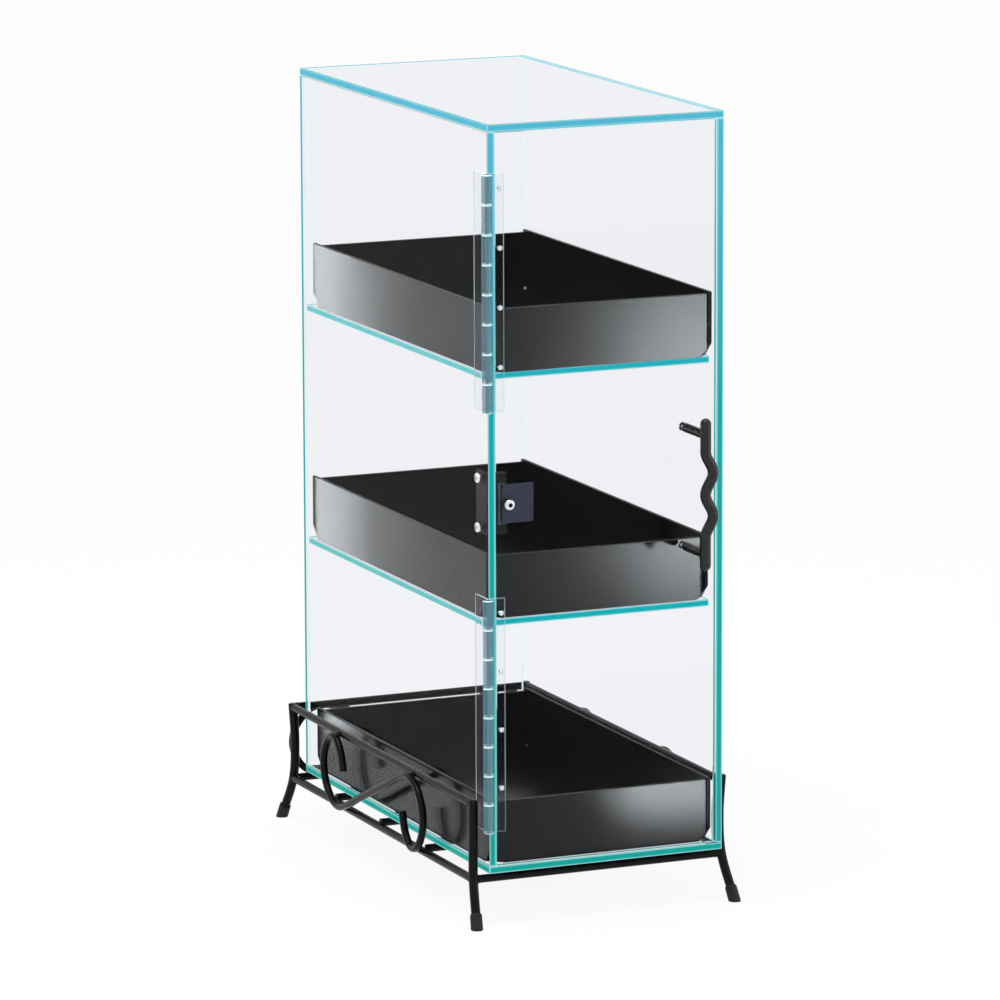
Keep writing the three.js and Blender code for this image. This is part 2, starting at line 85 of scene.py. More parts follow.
def rod(bm, points, radius, sides=20, dome=0):
    """A ring is extruded along the points and turned with the line; dome rings round off both ends."""
    along = [(points[min(i + 1, len(points) - 1)] - points[max(i - 1, 0)]).normalized()
             for i in range(len(points))]
    stations = [(p, d, 1.0) for p, d in zip(points, along)]
    if dome:
        angles = [math.pi / 2 * (i + 1) / (dome + 1) for i in range(dome)]
        head = [(points[0] - along[0] * radius * math.sin(a), along[0], math.cos(a)) for a in angles]
        tail = [(points[-1] + along[-1] * radius * math.sin(a), along[-1], math.cos(a)) for a in angles]
        stations = head[::-1] + stations + tail
    place, heading, size = stations[0]
    turn = heading.to_track_quat("Z", "Y")
    ring = bmesh.ops.create_circle(
        bm, cap_ends=True, segments=sides, radius=radius * size,
        matrix=Matrix.Translation(place) @ turn.to_matrix().to_4x4())["verts"]
    rim = list(dict.fromkeys(e for v in ring for e in v.link_edges))
    for to, onward, scale in stations[1:]:
        grown = bmesh.ops.extrude_edge_only(bm, edges=rim)["geom"]
        ring = [v for v in grown if isinstance(v, bmesh.types.BMVert)]
        fresh = set(ring)
        rim = [e for e in grown if isinstance(e, bmesh.types.BMEdge) and set(e.verts) <= fresh]
        swing = heading.rotation_difference(onward).to_matrix().to_4x4()
        step = Matrix.Translation(to) @ swing @ Matrix.Scale(scale / size, 4) @ Matrix.Translation(-place)
        bmesh.ops.transform(bm, matrix=step, verts=ring)
        place, heading, size = to, onward, scale
    bmesh.ops.edgeloop_fill(bm, edges=rim)


def add_piece(name, bm, body, materials, nodes, sharp=40):
    """Turns the bmesh into a shaded object that moves with its body and stands for its CAD nodes."""
    bmesh.ops.recalc_face_normals(bm, faces=bm.faces)
    for face in bm.faces:
        face.smooth = True
    mesh = bpy.data.meshes.new(name)
    bm.to_mesh(mesh)
    bm.free()
    mesh.set_sharp_from_angle(angle=math.radians(sharp))
    for material in materials:
        mesh.materials.append(material)
    piece = bpy.data.objects.new(name, mesh)
    bpy.context.scene.collection.objects.link(piece)
    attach(piece, body)
    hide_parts(*nodes)
    return piece


def new_material(name, **values):
    """A material with one Principled shader, whose plain values are set on its own sockets."""
    material = bpy.data.materials.new(name)
    material.use_nodes = True
    shader = material.node_tree.nodes["Principled BSDF"]
    for socket, value in values.items():
        shader.inputs[socket.replace("_", " ")].default_value = value
    return material, material.node_tree, shader


def mottle_group():
    """Soft blotches and fine grain on Object coordinates, for the sheen of paint, plastic and rubber."""
    group = bpy.data.node_groups.new("mottle", "ShaderNodeTree")
    for name, default in (("Blotch Scale", 30.0), ("Grain Scale", 900.0), ("Low", 0.2), ("High", 0.4)):
        socket = group.interface.new_socket(name, in_out="INPUT", socket_type="NodeSocketFloat")
        socket.default_value = default
    for name in ("Roughness", "Height", "Mask"):
        group.interface.new_socket(name, in_out="OUTPUT", socket_type="NodeSocketFloat")
    nodes, links = group.nodes, group.links
    given, made = nodes.new("NodeGroupInput"), nodes.new("NodeGroupOutput")
    place = nodes.new("ShaderNodeTexCoord")
    blotch, grain = nodes.new("ShaderNodeTexNoise"), nodes.new("ShaderNodeTexNoise")
    for noise, scale, detail in ((blotch, "Blotch Scale", 3), (grain, "Grain Scale", 2)):
        noise.inputs["Detail"].default_value = detail
        links.new(place.outputs["Object"], noise.inputs["Vector"])
        links.new(given.outputs[scale], noise.inputs["Scale"])
    spread = nodes.new("ShaderNodeMapRange")
    spread.inputs["From Min"].default_value, spread.inputs["From Max"].default_value = 0.3, 0.7
    links.new(blotch.outputs["Fac"], spread.inputs["Value"])
    links.new(given.outputs["Low"], spread.inputs["To Min"])
    links.new(given.outputs["High"], spread.inputs["To Max"])
    links.new(spread.outputs["Result"], made.inputs["Roughness"])
    links.new(grain.outputs["Fac"], made.inputs["Height"])
    links.new(blotch.outputs["Fac"], made.inputs["Mask"])
    return group


mottle = mottle_group()


def add_mottle(tree, shader, blotch, grain, low, high, bump):
    """Places the mottle group in a material with its own values, and returns it."""
    node = tree.nodes.new("ShaderNodeGroup")
    node.node_tree = mottle
    for socket, value in zip(("Blotch Scale", "Grain Scale", "Low", "High"), (blotch, grain, low, high)):
        node.inputs[socket].default_value = value
    tree.links.new(node.outputs["Roughness"], shader.inputs["Roughness"])
    relief = tree.nodes.new("ShaderNodeBump")
    relief.inputs["Strength"].default_value = bump
    relief.inputs["Distance"].default_value = 0.0002
    tree.links.new(node.outputs["Height"], relief.inputs["Height"])
    tree.links.new(relief.outputs["Normal"], shader.inputs["Normal"])
    return node


def two_tones(tree, shader, mask, dark, light):
    """Base Color between two tones, by a mask from 0 to 1."""
    mix = tree.nodes.new("ShaderNodeMix")
    mix.data_type = "RGBA"
    mix.inputs["A"].default_value, mix.inputs["B"].default_value = (*dark, 1), (*light, 1)
    tree.links.new(mask, mix.inputs["Factor"])
    tree.links.new(mix.outputs["Result"], shader.inputs["Base Color"])


rod_paint, tree, shader = new_material("black_rod_paint", Specular_IOR_Level=0.09, Coat_Weight=0.04,
                                       Coat_Roughness=0.05)
sheen = add_mottle(tree, shader, blotch=45, grain=700, low=0.1, high=0.18, bump=0.08)
two_tones(tree, shader, sheen.outputs["Mask"], (0.002, 0.002, 0.0022), (0.006, 0.006, 0.0065))

LEG_RADIUS = 0.004
LEG_TOP_Z, WAIST_Z, LEG_END_Z = 61, 26, -41
WAIST_IN_X, WAIST_IN_Y, FOOT_OUT_X, FOOT_OUT_Y = 1, 2.4, 3.8, 15
legs = {}
for end, y, out_y in (("front", FRONT_Y, -1), ("back", BACK_Y, 1)):
    for side, x, out_x in (("left", LEFT_X, -1), ("right", RIGHT_X, 1)):
        waist = at(x - WAIST_IN_X * out_x, y - WAIST_IN_Y * out_y, WAIST_Z)
        foot = at(x + FOOT_OUT_X * out_x, y + FOOT_OUT_Y * out_y, LEG_END_Z)
        line = smooth_line([at(x, y, LEG_TOP_Z), waist, at(x, y, LOW_RAIL_Z), foot], 40)
        legs[f"{end}_{side}"] = line
        bm = bmesh.new()
        rod(bm, line, LEG_RADIUS, sides=24)
        top = [e for f in bm.faces if len(f.verts) > 4 and f.calc_center_median().z > 0.1 for e in f.edges]
        bmesh.ops.bevel(bm, geom=top, offset=0.0012, segments=3, profile=0.5, affect="EDGES", material=-1)
        add_piece(f"{end}_{side}_leg_rod", bm, "case", [rod_paint], [f"{end}_{side}_leg"])

# Rubber tips: moulded cups of black rubber with a rolled lip. Each is pushed on the end of a leg and held
# by its grip alone, and stands on a flat sole.
tip_rubber, tree, shader = new_material("tip_rubber", Specular_IOR_Level=0.2)
sheen = add_mottle(tree, shader, blotch=120, grain=1500, low=0.42, high=0.62, bump=0.25)
two_tones(tree, shader, sheen.outputs["Mask"], (0.006, 0.006, 0.006), (0.016, 0.016, 0.016))

TIP_PROFILE = ((0.0, -11.0), (3.2, -11.0), (4.6, -10.2), (5.1, -8.6), (5.27, -6.0), (5.15, 4.6), (5.0, 6.4),
               (4.7, 7.0), (4.3, 6.6), (4.15, 4.0))


def spun(profile, steps):
    """A new bmesh: a profile of radii and heights in millimetres, turned once about Z."""
    bm = bmesh.new()
    points = [bm.verts.new((r / 1000, 0, z / 1000)) for r, z in profile]
    edges = [bm.edges.new(pair) for pair in zip(points, points[1:])]
    bmesh.ops.spin(bm, geom=points + edges, cent=(0, 0, 0), axis=(0, 0, 1), angle=2 * math.pi, steps=steps,
                   use_merge=True)
    bmesh.ops.remove_doubles(bm, verts=bm.verts, dist=1e-6)
    return bm


for name, line in legs.items():
    up_leg = (line[-2] - line[-1]).normalized()
    bm = spun(TIP_PROFILE, 28)
    seat = Matrix.Translation(line[-1]) @ up_leg.to_track_quat("Z", "Y").to_matrix().to_4x4()
    bmesh.ops.transform(bm, matrix=seat, verts=bm.verts)
    cut = bmesh.ops.bisect_plane(bm, geom=bm.verts[:] + bm.edges[:] + bm.faces[:], dist=1e-7,
                                 plane_co=(0, 0, 0.0001), plane_no=(0, 0, -1), clear_outer=True)
    sole = [e for e in cut["geom_cut"] if isinstance(e, bmesh.types.BMEdge)]
    bmesh.ops.edgeloop_fill(bm, edges=sole)
    add_piece(f"{name}_rubber_tip", bm, "case", [tip_rubber], [f"{name}_tip"])

# Rails and cross bars: straight 7 mm steel rods in the same paint, welded between the legs. The case stands
# on the three cross bars, which are welded to the low rails.
RAIL_RADIUS = 0.0035
CROSS_BAR_Z = -3.8
CROSS_BAR_YS = [FRONT_Y + (BACK_Y - FRONT_Y) * (i + 1) / 4 for i in range(3)]


def straight(start, stop):
    """Nine even points from start to stop."""
    return [start.lerp(stop, i / 8) for i in range(9)]


rails = {}
for level, z in (("top", TOP_RAIL_Z), ("low", LOW_RAIL_Z)):
    for side, x in (("left", LEFT_X), ("right", RIGHT_X)):
        rails[f"{side}_{level}_rail"] = (at(x, FRONT_Y, z), at(x, BACK_Y, z))
    rails[f"back_{level}_rail"] = (at(LEFT_X, BACK_Y, z), at(RIGHT_X, BACK_Y, z))
rails["front_low_rail"] = (at(LEFT_X, FRONT_Y, LOW_RAIL_Z), at(RIGHT_X, FRONT_Y, LOW_RAIL_Z))
for place, y in zip(("front", "middle", "back"), CROSS_BAR_YS):
    rails[f"{place}_cross_bar"] = (at(LEFT_X, y, CROSS_BAR_Z), at(RIGHT_X, y, CROSS_BAR_Z))
for name, (start, stop) in rails.items():
    bm = bmesh.new()
    rod(bm, straight(start, stop), RAIL_RADIUS)
    add_piece(f"{name}_rod", bm, "case", [rod_paint], [name])

# Scrolls: a lazy S of the same rod, bent cold, on the left, right and back of the stand. Each is welded on
# the outside of the rails at four spots.
SCROLL_HALF = ((67, 3), (73, 19), (86, 30.5), (101, 26.5), (112, 10), (112, -7), (101, -23), (82, -31),
               (60, -25.5), (30, -12.5))
scroll_line = [*SCROLL_HALF, (0, 0), *[(-u, -w) for u, w in SCROLL_HALF[::-1]]]
SCROLL_Y, SCROLL_Z = (FRONT_Y + BACK_Y) / 2, (TOP_RAIL_Z + LOW_RAIL_Z) / 2
SCROLL_OUT = 7.3
SCROLL_RADIUS = 0.0033
placing = {
    "left_scroll": lambda u, w: at(LEFT_X - SCROLL_OUT, SCROLL_Y + u, SCROLL_Z + w),
    "right_scroll": lambda u, w: at(RIGHT_X + SCROLL_OUT, SCROLL_Y + u, SCROLL_Z + w),
    "back_scroll": lambda u, w: at(CASE_WIDTH / 2 + u, BACK_Y + SCROLL_OUT, SCROLL_Z + w),
}
for name, place in placing.items():
    bm = bmesh.new()
    rod(bm, smooth_line([place(u, w) for u, w in scroll_line], 150), SCROLL_RADIUS)
    for face in [f for f in bm.faces if len(f.verts) > 4]:
        bmesh.ops.bevel(bm, geom=face.edges[:], offset=0.0006, segments=2, profile=0.5, affect="EDGES",
                        material=-1)
    add_piece(f"{name}_rod", bm, "case", [rod_paint], [name])

# Weld beads: small fillets of weld metal under the paint, where rails meet legs, cross bars meet low rails
# and scrolls meet rails. Their half sizes are in millimetres too.
LEG_BEAD, LEG_BEAD_OUT = (3.9, 2.6, 3.9), 4
BAR_BEAD, BAR_BEAD_Z, BAR_BEAD_IN = (3.4, 4.4, 3.0), -5.2, 1.5
SIDE_BEAD, BACK_BEAD, SCROLL_BEAD_IN = (3.2, 4.0, 2.8), (4.0, 3.2, 2.8), 3.6
SCROLL_WELDS = ((86, 32.6), (-86, -32.6), (82, -32.6), (-82, 32.6))
beads = []
for y, inward_y in ((FRONT_Y, 1), (BACK_Y, -1)):
    for x, inward_x in ((LEFT_X, 1), (RIGHT_X, -1)):
        for z in (TOP_RAIL_Z, LOW_RAIL_Z):
            beads.append((at(x, y + LEG_BEAD_OUT * inward_y, z), LEG_BEAD))
            if y == BACK_Y or z == LOW_RAIL_Z:
                across = LEG_BEAD[1], LEG_BEAD[0], LEG_BEAD[2]
                beads.append((at(x + LEG_BEAD_OUT * inward_x, y, z), across))
for y in CROSS_BAR_YS:
    beads += [(at(x, y, BAR_BEAD_Z), BAR_BEAD) for x in (LEFT_X + BAR_BEAD_IN, RIGHT_X - BAR_BEAD_IN)]
for name, inward, bead in (("left_scroll", (1, 0, 0), SIDE_BEAD), ("right_scroll", (-1, 0, 0), SIDE_BEAD),
                           ("back_scroll", (0, -1, 0), BACK_BEAD)):
    beads += [(placing[name](u, w) + SCROLL_BEAD_IN / 1000 * Vector(inward), bead) for u, w in SCROLL_WELDS]
bm = bmesh.new()
for spot, (rx, ry, rz) in beads:
    size = Matrix.Diagonal((rx / 1000, ry / 1000, rz / 1000, 1))
    bmesh.ops.create_icosphere(bm, subdivisions=3, radius=1, matrix=Matrix.Translation(spot) @ size)
add_piece("stand_weld_beads", bm, "case", [rod_paint], [])

# Case: clear cast acrylic sheet of 6 mm, saw-cut, polished on its edges and cemented into a box.
# The edges glow with painted light, blue near the top and green lower down, inside a lighter rim that is a
# painted highlight. Its faces mirror little, as under a polarising filter.
ACRYLIC_IOR, QUIET_SHARE = 1.49, 0.93
clear_face, tree, shader = new_material("clear_acrylic", IOR=ACRYLIC_IOR, Roughness=0.0,
                                        Transmission_Weight=1.0)
haze = tree.nodes.new("ShaderNodeGroup")
haze.node_tree = mottle
haze.inputs["Blotch Scale"].default_value = 5.0
two_tones(tree, shader, haze.outputs["Mask"], (0.955, 0.96, 0.968), (0.975, 0.979, 0.985))
lamp_ray = tree.nodes.new("ShaderNodeLightPath")
let_through = tree.nodes.new("ShaderNodeBsdfTransparent")
let_through.inputs["Color"].default_value = (0.93, 0.955, 0.96, 1)
quiet, bent = tree.nodes.new("ShaderNodeMixShader"), tree.nodes.new("ShaderNodeBsdfRefraction")
quiet.inputs["Fac"].default_value = QUIET_SHARE
bent.inputs["Roughness"].default_value, bent.inputs["IOR"].default_value = 0.0, ACRYLIC_IOR
bent.inputs["Color"].default_value = (0.968, 0.972, 0.98, 1)
tree.links.new(shader.outputs["BSDF"], quiet.inputs[1])
tree.links.new(bent.outputs["BSDF"], quiet.inputs[2])
either = tree.nodes.new("ShaderNodeMixShader")
tree.links.new(lamp_ray.outputs["Is Shadow Ray"], either.inputs["Fac"])
tree.links.new(quiet.outputs["Shader"], either.inputs[1])
tree.links.new(let_through.outputs["BSDF"], either.inputs[2])
tree.links.new(either.outputs["Shader"], tree.nodes["Material Output"].inputs["Surface"])

LOW_EDGE_Z, TOP_EDGE_Z = 0.05, 0.68


def painted_glow_edge(name, rim_highlight_tone, low_tone, middle_tone, top_tone):
    """A polished edge that glows with painted light: a strong core colour that changes with height, inside a
    lighter rim that is a painted highlight.
    """
    material, tree, shader = new_material(name, Specular_IOR_Level=0.08, Emission_Strength=1.0,
                                          Base_Color=(0.0, 0.03, 0.03, 1))
    material.cycles.emission_sampling = "NONE"
    add_mottle(tree, shader, blotch=40, grain=500, low=0.3, high=0.5, bump=0.05)
    place = tree.nodes.new("ShaderNodeTexCoord")
    height = tree.nodes.new("ShaderNodeSeparateXYZ")
    tree.links.new(place.outputs["Object"], height.inputs["Vector"])
    up = tree.nodes.new("ShaderNodeMapRange")
    up.inputs["From Min"].default_value, up.inputs["From Max"].default_value = LOW_EDGE_Z, TOP_EDGE_Z
    tree.links.new(height.outputs["Z"], up.inputs["Value"])
    ramp = tree.nodes.new("ShaderNodeValToRGB")
    ramp.color_ramp.elements[0].color = (*low_tone, 1)
    ramp.color_ramp.elements[1].color = (*top_tone, 1)
    ramp.color_ramp.elements.new(0.6).color = (*middle_tone, 1)
    tree.links.new(up.outputs["Result"], ramp.inputs["Fac"])
    core = tree.nodes.new("ShaderNodeAttribute")
    core.attribute_name = "core"
    rim = tree.nodes.new("ShaderNodeMix")
    rim.data_type = "RGBA"
    rim.inputs["A"].default_value = (*rim_highlight_tone, 1)
    tree.links.new(core.outputs["Fac"], rim.inputs["Factor"])
    tree.links.new(ramp.outputs["Color"], rim.inputs["B"])
    tree.links.new(rim.outputs["Result"], shader.inputs["Emission Color"])
    return material


# Colours of the painted edge glow: the rim's painted highlight, then the core low down, in the middle and at
# the top.
free_edge_glow = painted_glow_edge("acrylic_free_edge", (0.30, 0.66, 0.70), (0.004, 0.33, 0.28), (0.0, 0.35, 0.35),
                        (0.08, 0.44, 0.62))
shelf_edge_glow = painted_glow_edge("acrylic_shelf_edge", (0.42, 0.78, 0.84), (0.0, 0.41, 0.42), (0.0, 0.42, 0.47),
                         (0.05, 0.48, 0.66))
blended_edge_glow = painted_glow_edge("acrylic_blended_edge", (0.84, 0.90, 0.92), (0.80, 0.87, 0.89),
                           (0.80, 0.87, 0.89), (0.80, 0.87, 0.89))
cement_line_glow = painted_glow_edge("acrylic_cement_line", (0.72, 0.90, 0.92), (0.10, 0.48, 0.44), (0.14, 0.54, 0.56),
                          (0.22, 0.60, 0.66))
ARRIS, CORE_INSET, LEAST_EDGE_AREA = 0.0004, 0.0013, 0.004 * 0.05


def acrylic_sheet(node, body, edge, cemented=(), blended=()):
    """A sheet the size of its CAD node, with clear faces. Its edges glow with painted light inside a lighter
    rim that is a painted highlight. Sides are named as (axis, sign): those in cemented show the line of the
    joint in its own painted glow, and those in blended glow pale so that they hardly show."""
    low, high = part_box(node)
    size = high - low
    thin = min(range(3), key=lambda i: size[i])
    bm = bmesh.new()
    bmesh.ops.create_cube(bm, size=1)
    bmesh.ops.scale(bm, vec=size, verts=bm.verts)
    bmesh.ops.translate(bm, vec=(low + high) / 2, verts=bm.verts)
    bmesh.ops.bevel(bm, geom=bm.edges[:], offset=ARRIS, segments=2, profile=0.5, affect="EDGES", material=-1)
    core = bm.verts.layers.float.new("core")
    narrow = [f for f in bm.faces if abs(f.normal[thin]) < 0.9]
    for face in narrow:
        glued = any(face.normal[axis] * sign > 0.7 for axis, sign in cemented)
        lost = any(face.normal[axis] * sign > 0.7 for axis, sign in blended)
        face.material_index = 3 if lost else 2 if glued else 1
    flat = [f for f in narrow if f.calc_area() > LEAST_EDGE_AREA]
    bmesh.ops.inset_individual(bm, faces=flat, thickness=CORE_INSET)
    for face in flat:
        for vert in face.verts:
            vert[core] = 1.0
    add_piece(f"{node}_sheet", bm, body, [clear_face, edge, cement_line_glow, blended_edge_glow], [node],
              sharp=10)


for node in ("bottom_panel", "top_panel"):
    acrylic_sheet(node, "case", free_edge_glow)
acrylic_sheet("left_panel", "case", free_edge_glow, [(2, 1), (2, -1)])
acrylic_sheet("right_panel", "case", free_edge_glow, [(2, 1), (2, -1)], [(1, 1)])
acrylic_sheet("back_panel", "case", free_edge_glow, blended=[(0, 1), (0, -1), (2, 1), (2, -1)])
for node in ("lower_shelf", "upper_shelf"):
    acrylic_sheet(node, "case", shelf_edge_glow, [(0, 1), (0, -1), (1, 1)])

# Screws: plated steel with a bright button head and a six-sided socket. They run through the sheet and hold
# the hinges, the handle and the catch.
chrome, tree, shader = new_material("bright_plating", Metallic=1.0)
sheen = add_mottle(tree, shader, blotch=400, grain=3000, low=0.08, high=0.2, bump=0.05)
two_tones(tree, shader, sheen.outputs["Mask"], (0.62, 0.64, 0.66), (0.86, 0.87, 0.88))


def button_screw(name, body, nodes, seat, inward, head, height, shank, length):
    """A domed head spun about its axis with a socket let into it, and a plain shank. Sizes in mm."""
    mouth = 0.52 * head
    profile = [(mouth, -height)]
    profile += [(mouth + (head - mouth) * math.sin(a), -height + 0.75 * height * (1 - math.cos(a)))
                for a in (math.pi / 2 * i / 5 for i in range(1, 6))]
    profile += [(head, -0.08 * height), (head - 0.1, 0), (shank, 0), (shank, length - shank), (0.4, length)]
    bm = spun(profile, 24)
    ends = [e for e in bm.edges if e.is_boundary]
    tail = [e for e in ends if e.verts[0].co.z > 0]
    bmesh.ops.edgeloop_fill(bm, edges=tail)
    lip = [e for e in ends if e.verts[0].co.z < 0]
    socket = bmesh.ops.create_circle(bm, segments=6, radius=0.43 * head / 1000,
                                     matrix=Matrix.Translation((0, 0, -height / 1000)))["verts"]
    hexagon = list(dict.fromkeys(e for v in socket for e in v.link_edges))
    bmesh.ops.bridge_loops(bm, edges=lip + hexagon)
    grown = bmesh.ops.extrude_edge_only(bm, edges=hexagon)["geom"]
    deep = [v for v in grown if isinstance(v, bmesh.types.BMVert)]
    bmesh.ops.translate(bm, vec=(0, 0, 0.62 * height / 1000), verts=deep)
    floor_edges = [e for e in grown if isinstance(e, bmesh.types.BMEdge) and set(e.verts) <= set(deep)]
    bmesh.ops.edgeloop_fill(bm, edges=floor_edges)
    turn = inward.to_track_quat("Z", "Y").to_matrix().to_4x4()
    bmesh.ops.transform(bm, matrix=Matrix.Translation(seat) @ turn, verts=bm.verts)
    add_piece(name, bm, body, [chrome], nodes, sharp=30)


# Catch: a moulded black plastic bracket with a bar magnet let into its block. Two screws hold it to the left
# panel from outside.
black_moulding, tree, shader = new_material("black_moulding", Specular_IOR_Level=0.12)
sheen = add_mottle(tree, shader, blotch=90, grain=1400, low=0.34, high=0.5, bump=0.2)
two_tones(tree, shader, sheen.outputs["Mask"], (0.008, 0.008, 0.009), (0.017, 0.017, 0.019))
magnet_steel, tree, shader = new_material("magnet_steel", Metallic=1.0)
sheen = add_mottle(tree, shader, blotch=60, grain=900, low=0.3, high=0.5, bump=0.1)
two_tones(tree, shader, sheen.outputs["Mask"], (0.07, 0.07, 0.075), (0.16, 0.16, 0.17))


def eased_copy(node, body, material, ease):
    """The CAD node's own form with its corners eased, by millimetres."""
    bm = bmesh.new()
    bm.from_mesh(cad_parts[node].data)
    bmesh.ops.remove_doubles(bm, verts=bm.verts, dist=1e-6)
    bmesh.ops.dissolve_limit(bm, angle_limit=math.radians(2), verts=bm.verts, edges=bm.edges)
    corners = [e for e in bm.edges if len(e.link_faces) == 2 and e.calc_face_angle() > math.radians(40)]
    bmesh.ops.bevel(bm, geom=corners, offset=ease / 1000, segments=2, profile=0.5, affect="EDGES",
                    clamp_overlap=True, material=-1)
    return add_piece(f"{node}_eased", bm, body, [material], [node], sharp=15)


FIT_GAP = 0.3  # the hairline between pieces that are fixed together
eased_copy("catch_body", "case", black_moulding, ease=0.5)
eased_copy("catch_magnet", "case", magnet_steel, ease=0.2)
for level, z in (("lower", 294.0), ("upper", 336.0)):
    button_screw(f"catch_{level}_button_screw", "case", [f"catch_{level}_screw"], at(-FIT_GAP, 19.5, z),
                 Vector((1, 0, 0)), head=4.5, height=2.6, shank=1.9, length=9.3)

# Door: one clear sheet of the same acrylic, let in between the side panels. It hangs on the hinges along its
# left edge, with all its edges polished.
acrylic_sheet("door_panel", "door", free_edge_glow)

# Hinges: two piano hinges of clear moulded plastic, each with eight knuckles on a plastic pin. One leaf is
# cemented to the left panel, and four small screws hold the other to the door.
clear_hinge, tree, shader = new_material("clear_hinge", Coat_Weight=0.3, Coat_Roughness=0.04, Alpha=0.5)
sheen = add_mottle(tree, shader, blotch=60, grain=500, low=0.06, high=0.14, bump=0.03)
two_tones(tree, shader, sheen.outputs["Mask"], (0.05, 0.17, 0.23), (0.10, 0.26, 0.33))
# The knuckle ends and the plates' cut edges glow a little in a light blue: a painted highlight.
hinge_rim_glow, tree, shader = new_material("hinge_rim_glow", Coat_Weight=0.5, Coat_Roughness=0.04,
                                       Emission_Strength=0.3)
sheen = add_mottle(tree, shader, blotch=80, grain=600, low=0.1, high=0.2, bump=0.03)
two_tones(tree, shader, sheen.outputs["Mask"], (0.62, 0.82, 0.88), (0.8, 0.93, 0.96))
tree.links.new(shader.inputs["Base Color"].links[0].from_socket, shader.inputs["Emission Color"])

PIN_X, PIN_Y, PIN_RADIUS, PIN_INSET = -2.6, -4.9, 0.0015, 0.8
KNUCKLE_COUNT, KNUCKLE_PITCH, KNUCKLE_LENGTH = 8, 25.0, 0.0246
KNUCKLE_RADIUS, KNUCKLE_EASE = 0.0045, 0.0006
LEAF_OUT, TAB_HALF, LEAF_SCREW_X = -1.9, 12.3, 10.4


def knuckle(bm, z):
    """A barrel on the pin line, with eased ends that glow a little as a painted highlight."""
    made = bmesh.ops.create_cone(bm, cap_ends=True, segments=32, radius1=KNUCKLE_RADIUS,
                                 radius2=KNUCKLE_RADIUS, depth=KNUCKLE_LENGTH,
                                 matrix=Matrix.Translation(at(PIN_X, PIN_Y, z)))["verts"]
    edges = dict.fromkeys(e for v in made for e in v.link_edges)
    rims = [e for e in edges if abs(e.verts[0].co.z - e.verts[1].co.z) < 1e-6]
    eased = bmesh.ops.bevel(bm, geom=rims, offset=KNUCKLE_EASE, segments=1, profile=0.5, affect="EDGES",
                            material=-1)["faces"]
    for face in eased:
        face.material_index = 1
    for face in {f for v in made if v.is_valid for f in v.link_faces}:
        if abs(face.normal.z) > 0.9:
            face.material_index = 1


def plate(bm, x0, x1, y0, y1, z0, z1):
    """A thin moulded plate whose cut edges glow lighter as a painted highlight. Sizes in mm from the case's
    corner.
    """
    low, high = at(x0, y0, z0), at(x1, y1, z1)
    made = bmesh.ops.create_cube(bm, size=1)["verts"]
    bmesh.ops.scale(bm, vec=high - low, verts=made)
    bmesh.ops.translate(bm, vec=(low + high) / 2, verts=made)
    thin = 0 if x1 - x0 < y1 - y0 else 1
    for face in {f for v in made for f in v.link_faces}:
        face.normal_update()
        face.material_index = 2 if abs(face.normal[thin]) > 0.9 else 1


for level, base in (("lower", 36.5), ("upper", 394.5)):
    top = base + KNUCKLE_COUNT * KNUCKLE_PITCH
    for owner, first, leaf, tab in (
            ("case", 0, (LEAF_OUT, -FIT_GAP, 0, 24), (LEAF_OUT, -FIT_GAP, -2.6, 0.2)),
            ("door", 1, (1.5, 14, LEAF_OUT, -FIT_GAP), (-1.3, 1.7, LEAF_OUT, -FIT_GAP))):
        bm = bmesh.new()
        plate(bm, *leaf, base, top)
        for k in range(first, KNUCKLE_COUNT, 2):
            middle = base + (k + 0.5) * KNUCKLE_PITCH
            knuckle(bm, middle)
            plate(bm, *tab, middle - TAB_HALF, middle + TAB_HALF)
        add_piece(f"{level}_hinge_{owner}_leaf_moulding", bm, owner,
                  [clear_hinge, hinge_rim_glow, clear_face], [f"{level}_hinge_{owner}_leaf"])
    bm = bmesh.new()
    pin_ends = at(PIN_X, PIN_Y, base + PIN_INSET), at(PIN_X, PIN_Y, top - PIN_INSET)
    rod(bm, straight(*pin_ends), PIN_RADIUS, sides=16, dome=3)
    add_piece(f"{level}_hinge_pin_rod", bm, "case", [clear_hinge], [f"{level}_hinge_pin"])
    for i in range(4):
        seat = at(LEAF_SCREW_X, LEAF_OUT - FIT_GAP, base + (2 * i + 1.5) * KNUCKLE_PITCH)
        button_screw(f"{level}_hinge_button_screw_{i + 1}", "door", [f"{level}_hinge_screw_{i + 1}"], seat,
                     Vector((0, 1, 0)), head=2.3, height=1.3, shank=1.1, length=7)

# Strike plate: a square of dark blued steel behind the door, which the magnet pulls on. One screw from the
# front holds it.
blued_steel, tree, shader = new_material("blued_steel", Metallic=0.6, Specular_IOR_Level=0.5)
sheen = add_mottle(tree, shader, blotch=70, grain=700, low=0.25, high=0.42, bump=0.08)
two_tones(tree, shader, sheen.outputs["Mask"], (0.024, 0.026, 0.046), (0.048, 0.052, 0.09))
eased_copy("strike_plate", "door", blued_steel, ease=0.3)
button_screw("strike_button_screw", "door", ["strike_screw"], at(19, -FIT_GAP, 315), Vector((0, 1, 0)),
             head=4.75, height=2.8, shank=1.9, length=8)

